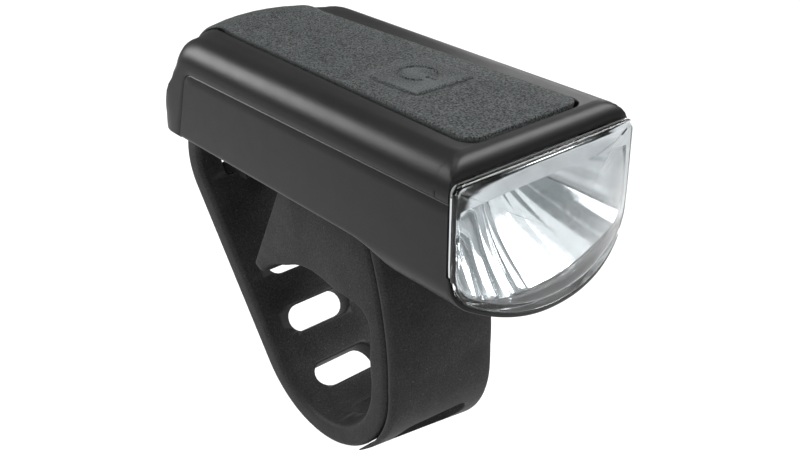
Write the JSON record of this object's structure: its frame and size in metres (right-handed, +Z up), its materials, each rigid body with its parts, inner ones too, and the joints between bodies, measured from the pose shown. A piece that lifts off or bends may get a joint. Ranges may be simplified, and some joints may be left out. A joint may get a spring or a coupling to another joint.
{
  "type": "bicycle headlight",
  "caption": "Rechargeable bar-top bicycle headlight: slim box housing, deep bulged lens over a reflector, rubber pad with power button and port flap, ladder strap round the bar.",
  "frame": {"origin": "on the handlebar's axis, in the middle of the strap's width", "axes": "+X along the handlebar, +Y back towards the rider (the beam leaves along -Y), +Z up"},
  "size_m": [0.038, 0.0897, 0.0748],
  "materials": {
    "housing": "fine satin moulding texture",
    "pad": "matte grained rubber",
    "silicone": "matte moulded silicone",
    "clear": "clear polished",
    "metallised": "vacuum metallised",
    "seal": "smooth",
    "gasket": "milky moulded silicone",
    "steel": "plain",
    "board_core": "plain",
    "emitter": "phosphor under a clear dome",
    "board": "solder mask",
    "switch": "moulded",
    "plunger": "moulded",
    "wire": "insulation",
    "cell": "pouch foil",
    "tray": "moulded"
  },
  "bodies": {
    "light": {"upper_housing": "housing", "lower_housing": "housing", "housing_seal": "seal", "housing_screws": "steel", "lens": "clear", "lens_seal": "gasket", "reflector": "metallised", "led_board": "board_core", "led_emitter": "emitter", "heat_sink": "board_core", "led_leads": "wire", "main_board": "board", "tact_switch": "switch", "top_pad": "pad", "usb_socket": "steel", "battery_cell": "cell", "battery_tray": "tray", "battery_leads": "wire", "mount_plate": "housing", "mount_screw": "steel", "bar_saddle": "silicone", "front_band": "silicone", "strap_hook": "housing"},
    "button": {"button_key": "pad", "switch_plunger": "plunger"},
    "port_flap": {"port_flap": "pad"},
    "strap_tail": {"strap_tail": "silicone"}
  },
  "joints": [
    {"name": "button_press", "type": "slide", "parent": "light", "child": "button", "axis": [0, 0, -1], "range_m": [0, 0.0005], "stiffness_N_per_m": 1500, "springref_m": -0.0006},
    {"name": "flap_hinge", "type": "hinge", "parent": "light", "child": "port_flap", "pos_m": [0, 0.0271, 0.05392], "axis": [1, 0, 0], "range_deg": [0, 110], "stiffness_Nm_per_rad": 0.002, "springref_deg": -11.46},
    {"name": "strap_release", "type": "hinge", "parent": "light", "child": "strap_tail", "pos_m": [0, 0, -0.0201], "axis": [-1, 0, 0], "range_deg": [0, 70], "stiffness_Nm_per_rad": 0.03, "springref_deg": -17.19}
  ]
}
